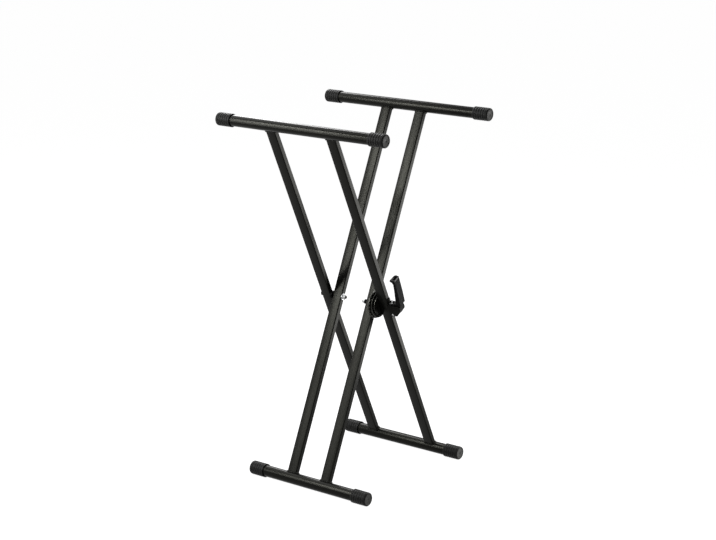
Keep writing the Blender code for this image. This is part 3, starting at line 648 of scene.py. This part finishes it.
def raise_teeth(shape, front, direction, outer):
    """Raise every second sector of the tooth ring into a tapered tooth."""
    band = {}
    for face in shape.faces:
        centre = face.calc_center_median()
        reach = math.hypot(centre.x, centre.z)
        if abs(centre.y - front) < TOOTH_HEIGHT / 10 and TOOTH_START < reach < outer:
            turn = (math.atan2(-centre.z, centre.x) / (2 * math.pi)) % 1.0
            sector = int(turn * 2 * TOOTH_COUNT)
            if sector % 2 == 0:
                band.setdefault(sector, []).append(face)
    for faces in band.values():
        grown = bmesh.ops.extrude_face_region(shape, geom=faces)["geom"]
        bmesh.ops.delete(shape, geom=faces, context="FACES_KEEP_BOUNDARY")
        tips = [part for part in grown if isinstance(part, bmesh.types.BMVert)]
        centre = sum((tip.co for tip in tips), Vector()) / len(tips)
        rise = Vector((0, direction * TOOTH_HEIGHT, 0))
        for tip in tips:
            tip.co = centre + (tip.co - centre) * TOOTH_TAPER + rise


def toothed_disc(profile, front, direction, outer, turn):
    """A turned disc with its teeth raised out to its rim, turned about its own axis."""
    shape = turned(profile, 4 * TOOTH_COUNT)
    raise_teeth(shape, front, direction, outer)
    bmesh.ops.rotate(shape, matrix=Matrix.Rotation(turn, 3, "Y"), verts=shape.verts)
    return shape


low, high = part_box("fixed_clutch_disc")
front = low.y + TOOTH_HEIGHT
radius = (high.z - low.z) / 2 - FIXED_INSET
profile = [
    (NEAR_BORE, high.y), (NEAR_BORE, front), (0.018, front), (0.0190, front + 0.0006),
    (0.0232, front + 0.0006), (0.0242, front), (TOOTH_START, front),
    (radius - RIM_ROUND, front), (radius, front + RIM_ROUND),
    (radius, high.y - RIM_ROUND), (radius - RIM_ROUND, high.y),
]
fixed = toothed_disc(profile, front, -1, radius - RIM_ROUND, LEAN)
settle("fixed_disc_body", fixed, FOLD_AXIS, disc_coat, "inner_frame",
       ["fixed_clutch_disc"], edge=0.00025)

low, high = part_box("sliding_clutch_disc")
radius = (high.x - low.x) / 2 - SLIDING_INSET
cup_front = high.y
plate_back = low.y
root = plate_back + PLATE
profile = [
    (NEAR_BORE, cup_front - 0.0015), (NEAR_BORE, cup_front), (0.0200, cup_front),
    (0.0205, cup_front - 0.0005), (0.0205, root), (TOOTH_START, root), (radius - RIM_ROUND, root),
    (radius, root - RIM_ROUND), (radius, plate_back + RIM_ROUND), (radius - RIM_ROUND, plate_back),
    (0.0260, plate_back), (0.0250, plate_back + 0.0005), (0.0215, plate_back + 0.0005),
    (0.0205, plate_back), (0.0185, plate_back), (0.0185, cup_front - 0.0015),
]
sliding = toothed_disc(profile, root, 1, radius - RIM_ROUND, -LEAN)
settle("sliding_disc_body", sliding, FOLD_AXIS, disc_coat, "clutch_slider",
       ["sliding_clutch_disc"], edge=0.0002)

low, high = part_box("clutch_guide_plate")
plate = turned([
    (NEAR_BORE, low.y), (NEAR_BORE, high.y), (0.0180, high.y), (0.0185, high.y - 0.0004),
    (0.0250, high.y - 0.0004), (0.0255, high.y), (GUIDE_RADIUS - GUIDE_EASE, high.y),
    (GUIDE_RADIUS, high.y - GUIDE_EASE), (GUIDE_RADIUS, low.y + GUIDE_EASE),
    (GUIDE_RADIUS - GUIDE_EASE, low.y),
])
settle("guide_plate_body", plate, FOLD_AXIS, disc_coat, "outer_frame",
       ["clutch_guide_plate"])

# Return spring: a short coil of zinc-plated wire round the bolt, inside the sliding
# disc, which in the stand presses it against the guide plate. Here the coil fills its
# CAD part's length, and nothing squashes it.
low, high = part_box("return_spring")
SPRING_RADIUS = 0.0066
SPRING_WIRE = 0.0007
SPRING_TURNS = 3.5
CLOSED_SHARE = 0.1
SPRING_POINTS = 84
coil_line = bpy.data.curves.new("return_spring_wire", "CURVE")
coil_line.dimensions = "3D"
coil_line.bevel_depth = SPRING_WIRE
coil_line.bevel_resolution = 3
coil_line.use_fill_caps = True
spline = coil_line.splines.new("POLY")
spline.points.add(SPRING_POINTS)
for index, point in enumerate(spline.points):
    share = index / SPRING_POINTS
    angle = 2 * math.pi * SPRING_TURNS * share
    rise = min(1.0, max(0.0, (share - CLOSED_SHARE) / (1 - 2 * CLOSED_SHARE)))
    along = low.y + SPRING_WIRE + (high.y - low.y - 2 * SPRING_WIRE) * rise
    point.co = (SPRING_RADIUS * math.cos(angle), along, SPRING_RADIUS * math.sin(angle), 1.0)
spring = settle("return_spring_body", swept(coil_line), FOLD_AXIS, zinc, "outer_frame",
                ["return_spring"], sharp=60)
slide = next(joint for joint in frame["joints"] if joint["name"] == "clutch_slide")
left = 1 - slide["range_m"][1] / (high.y - low.y)
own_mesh(spring)

# Release: two zinc pins run from the sliding disc through the outer leg to a
# small plate. The lever's cross pin sits in a slot in the plate's boss, and
# pulls plate, pins and disc outwards together.
zinc_solids("release_pin_upper", "release_pin_lower", "draw_plate", "draw_pin")

# Lever bracket: a channel folded from two millimetre sheet, held to the outer
# leg by the clutch bolt and one screw. Its cheeks carry the lever's hinge pin.
LEG_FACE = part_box("outer_leg_near")[0].y
OUTER = UPRIGHT["outer"]
SHEET = 0.002
LEG_CLEARANCE = 0.0003
CHANNEL_HALF = 0.011
BASE_HALF = 0.0092
TONGUE_HALF = 0.0065
bracket_coat = powder_coat(
    "black_bracket_coat", (0.0028, 0.0028, 0.0026), roughness=0.30, sheen=0.03, peel=0.14
)


def side_plate(outline, half_width):
    """Extrude an outline of (along the leg, out from the leg) points across the leg."""
    shape = bmesh.new()
    ring = [shape.verts.new((-half_width, LEG_FACE - out, along)) for along, out in outline]
    face = shape.faces.new(ring)
    grown = bmesh.ops.extrude_face_region(shape, geom=[face])["geom"]
    moved = [part for part in grown if isinstance(part, bmesh.types.BMVert)]
    bmesh.ops.translate(shape, verts=moved, vec=(2 * half_width, 0, 0))
    return shape


def flat_strip(start, end, half_width):
    """A strip of the bracket's sheet that lies along the leg."""
    back = LEG_CLEARANCE + SHEET
    outline = [(start, LEG_CLEARANCE), (start, back), (end, back), (end, LEG_CLEARANCE)]
    return side_plate(outline, half_width)


bracket_outline = [
    (-0.0250, LEG_CLEARANCE), (-0.0207, 0.0245), (-0.0015, 0.0405), (0.0065, 0.0415),
    (0.0105, 0.0405), (0.0130, 0.0375), (0.0130, LEG_CLEARANCE),
]
cheeks = []
for side in (-1, 1):
    cheek = side_plate(bracket_outline, SHEET / 2)
    bmesh.ops.translate(cheek, vec=(side * (CHANNEL_HALF - SHEET / 2), 0, 0), verts=cheek.verts)
    cheeks.append(cheek)
base = flat_strip(-0.0250, 0.0130, BASE_HALF)
tongue = flat_strip(0.0120, 0.0265, TONGUE_HALF)
bracket = join(*cheeks, base, tongue)
settle("lever_bracket_body", bracket, OUTER, bracket_coat, "outer_frame",
       ["lever_bracket"], edge=0.0003)

SCREW_RISE = 0.021
SCREW_OUT = 0.0026
screw = turned([
    (0.0, 0.006), (0.002, 0.006), (0.002, 0.0), (0.0036, 0.0), (0.0036, -0.0006),
    (0.0031, -0.0013), (0.0022, -0.0017), (0.0013, -0.0018), (0.0012, -0.0008), (0.0, -0.0008),
], 32)
place = OUTER @ Matrix.Translation((0, LEG_FACE - SCREW_OUT, SCREW_RISE))
settle("bracket_screw_body", screw, place, disc_coat, "outer_frame",
       ["bracket_screw"])

# Release lever: one black nylon moulding. Its foot is a channel on the hinge pin,
# inside the bracket, and its grip stands out from the leg and hooks in at the tip.
# A crease crosses the grip below the tip. Its lip carries a painted highlight, and the tip's sides
# are painted lighter as painted light.
# A pale copy of the nylon: a painted highlight on the lip of the crease.
lip_highlight_nylon = moulded_nylon("black_plastic_painted_highlight", (0.18, 0.18, 0.18), roughness=0.45)
# A lighter copy of the nylon: painted light on the sides of the tip.
tip_sides_painted_light_nylon = moulded_nylon("black_plastic_painted_light", (0.085, 0.085, 0.085), roughness=0.40)
GRIP_OUTLINE = [
    (0.0200, 0.0320), (0.0730, 0.0420), (0.0900, 0.0445), (0.0955, 0.0425), (0.0990, 0.0365),
    (0.1020, 0.0356), (0.1065, 0.0425), (0.1100, 0.0465), (0.1105, 0.0490), (0.1098, 0.0508),
    (0.1090, 0.0512), (0.1084, 0.0470), (0.1062, 0.0470), (0.1056, 0.0522), (0.1048, 0.0530),
    (0.1008, 0.0530), (0.0998, 0.0522), (0.0970, 0.0526),
    (0.0580, 0.0508), (0.0200, 0.0472),
]
GRIP_HALF = 0.011
GRIP_ROUND = 0.009
GRIP_CUTS = (1.0, 0.8, 0.6, 0.4, 0.25, 0.12, 0.04)
CORNER_SHARE = 0.8
# The span along the grip where the lip takes the painted highlight.
PAINTED_HIGHLIGHT_LIP = (0.1008, 0.1056)
LIP_OUT = 0.05
# The share of the tip's rounding whose sides take the painted light.
PAINTED_LIGHT_SHARE = 0.7
FOOT_HALF = 0.0086
FOOT_OUTLINE = [
    (-0.0203, 0.0070), (-0.0203, 0.0241), (-0.0015, 0.0401), (0.0065, 0.0411),
    (0.0230, 0.0441), (0.0230, 0.0350), (0.0130, 0.0127), (0.0065, 0.0081),
    (-0.0126, 0.0081), (-0.0136, 0.0070),
]
grip = side_plate(GRIP_OUTLINE, GRIP_HALF)
tip = max(along for along, out in GRIP_OUTLINE)
for share in GRIP_CUTS:
    cut_across(grip, (0, 0, tip - GRIP_ROUND * share), (0, 0, 1))
for vert in grip.verts:
    past = vert.co.z - (tip - GRIP_ROUND)
    if past > 0:
        inset = GRIP_ROUND - math.sqrt(max(GRIP_ROUND ** 2 - past ** 2, 0))
        vert.co.x = math.copysign(abs(vert.co.x) - inset * CORNER_SHARE, vert.co.x)
bmesh.ops.recalc_face_normals(grip, faces=grip.faces)
# Lip faces that face out from the leg take the painted highlight; the tip's sides take the painted
# light.
for face in grip.faces:
    spot = face.calc_center_median()
    on_lip = PAINTED_HIGHLIGHT_LIP[0] < spot.z < PAINTED_HIGHLIGHT_LIP[1] and spot.y < LEG_FACE - LIP_OUT
    if on_lip and face.normal.y < -0.4:
        face.material_index = 1
    elif spot.z > tip - PAINTED_LIGHT_SHARE * GRIP_ROUND and abs(face.normal.x) > 0.3:
        face.material_index = 2
grip_body = settle("release_lever_grip", grip, OUTER, nylon, "lever",
                   edge=0.0005, sharp=40)
grip_body.data.materials.append(lip_highlight_nylon)
grip_body.data.materials.append(tip_sides_painted_light_nylon)

foot = side_plate(FOOT_OUTLINE, FOOT_HALF)
settle("release_lever_foot", foot, OUTER, nylon, "lever",
       ["release_lever"], edge=0.0004)

# Hinge pin: a zinc rivet across the bracket and the lever's foot, with a domed
# head at one end and a chamfer at the other.
HINGE_DROP = 0.0176
HINGE_OUT = 0.0110
pin = turned([
    (0.0, -0.0126), (0.0022, -0.0126), (0.0031, -0.0120), (0.0032, -0.0113), (0.0020, -0.0113),
    (0.0020, 0.0108), (0.0016, 0.0119), (0.0, 0.0119),
], 32)
bmesh.ops.rotate(pin, matrix=Matrix.Rotation(-math.pi / 2, 3, "Z"), verts=pin.verts)
place = OUTER @ Matrix.Translation((0, LEG_FACE - HINGE_OUT, -HINGE_DROP))
settle("lever_hinge_pin_body", pin, place, zinc, "lever",
       ["lever_hinge_pin"])

# Studio: a pale floor under a white surround. As the camera sees it, two soft panels
# stand at the right and three in a column at the left. Behind the stand, a wide one
# hangs overhead, two stand high and one low.
FLOOR_RADIUS = 40.0
FLOOR_DROP = 0.0002
floor_mesh = bmesh.new()
bmesh.ops.create_circle(floor_mesh, cap_ends=True, segments=96, radius=FLOOR_RADIUS)
floor_data = bpy.data.meshes.new("floor")
floor_mesh.to_mesh(floor_data)
floor_mesh.free()
floor = bpy.data.objects.new("floor", floor_data)
floor.location.z = -FLOOR_DROP
bpy.context.collection.objects.link(floor)


def seen_directly(wire):
    """1 for rays that show the background: from the camera, in gloss and through glass."""
    camera_ray = wire.add("LightPath", "Is Camera Ray")
    glossy_ray = wire.add("LightPath", "Is Glossy Ray")
    through_ray = wire.add("LightPath", "Is Transmission Ray")
    return wire.math_node("MINIMUM", camera_ray + glossy_ray + through_ray, 1.0)


material, shader, wire = new_finish("pale_floor")
shader.inputs["Base Color"].default_value = (0.20, 0.20, 0.20, 1.0)
shader.inputs["Roughness"].default_value = 1.0
shader.inputs["Specular IOR Level"].default_value = 0.0
shader.inputs["Emission Strength"].default_value = 1.0
direct = seen_directly(wire)
feed(direct.blend((0.0, 0.0, 0.0), (0.94, 0.94, 0.94)), shader, "Emission Color")
floor_data.materials.append(material)

world = bpy.data.worlds.new("white_surround")
bpy.context.scene.world = world
world.use_nodes = True
sky = world.node_tree.nodes["Background"]
sky.inputs["Color"].default_value = (1.0, 1.0, 1.0, 1.0)
wire = Wire(world.node_tree)
strength = seen_directly(wire) * 0.75 + 0.25
world.node_tree.links.new(strength.socket, sky.inputs["Strength"])


def panel(name, place, aim, width, height, glow):
    """A soft panel lamp that faces its aim, with its face this many times as bright as white."""
    lamp = bpy.data.lights.new(name, "AREA")
    lamp.shape = "RECTANGLE"
    lamp.size = width
    lamp.size_y = height
    lamp.energy = glow * math.pi * width * height
    holder = bpy.data.objects.new(name, lamp)
    bpy.context.collection.objects.link(holder)
    holder.location = place
    holder.rotation_euler = (Vector(aim) - Vector(place)).to_track_quat("-Z", "Y").to_euler()
    holder.visible_camera = False


panel("front_panel", (0.85, -0.75, 0.50), (0.0, 0.0, 0.66), 0.52, 0.54, 10.5)
panel("low_front_panel", (0.62, -0.64, 0.13), (0.0, 0.0, 0.15), 0.60, 0.20, 9.0)
panel("left_panel", (-1.45, 1.26, 1.95), (0.0, 0.0, 0.85), 0.55, 0.26, 46.0)
panel("low_left_panel", (-1.58, 1.22, 1.42), (0.0, 0.0, 0.60), 0.50, 0.36, 31.0)
panel("floor_left_panel", (-1.66, 1.16, 0.85), (0.0, 0.0, 0.30), 0.50, 0.45, 10.0)
panel("top_panel", (-0.15, 1.65, 2.40), (0.0, 1.3, 0.0), 1.9, 1.1, 3.0)
panel("back_panel", (1.15, 1.55, 2.00), (-0.2, 0.2, 0.95), 0.50, 1.30, 15.0)
panel("right_panel", (1.70, -0.10, 2.05), (0.0, 0.0, 0.50), 0.90, 0.90, 8.0)
panel("rear_panel", (-0.30, 2.20, 0.34), (0.0, 0.0, 0.50), 0.90, 0.60, 3.5)

# Camera: a long lens at about head height, in front to the left, rolled very slightly.
# Its place and way were worked out from the edges of the rails and legs in the photo.
CAMERA_PLACE = Vector((-3.6918, -2.8575, 1.8103))
CAMERA_WAY = Vector((0.76462, 0.59061, -0.25796))
CAMERA_ROLL = -0.0073
LENS_MM = 90.19
SENSOR_MM = 36.0
forward = CAMERA_WAY.normalized()
level = Vector((forward.y, -forward.x, 0.0)).normalized()
square = level.cross(forward)
right = math.cos(CAMERA_ROLL) * level + math.sin(CAMERA_ROLL) * square
upward = math.cos(CAMERA_ROLL) * square - math.sin(CAMERA_ROLL) * level
turn = Matrix((right, upward, -forward)).transposed().to_4x4()
lens = bpy.data.cameras.new("camera")
lens.lens = LENS_MM
lens.sensor_width = SENSOR_MM
camera = bpy.data.objects.new("camera", lens)
bpy.context.collection.objects.link(camera)
camera.matrix_world = Matrix.Translation(CAMERA_PLACE) @ turn
bpy.context.scene.camera = camera
bpy.context.scene.view_settings.view_transform = "Standard"
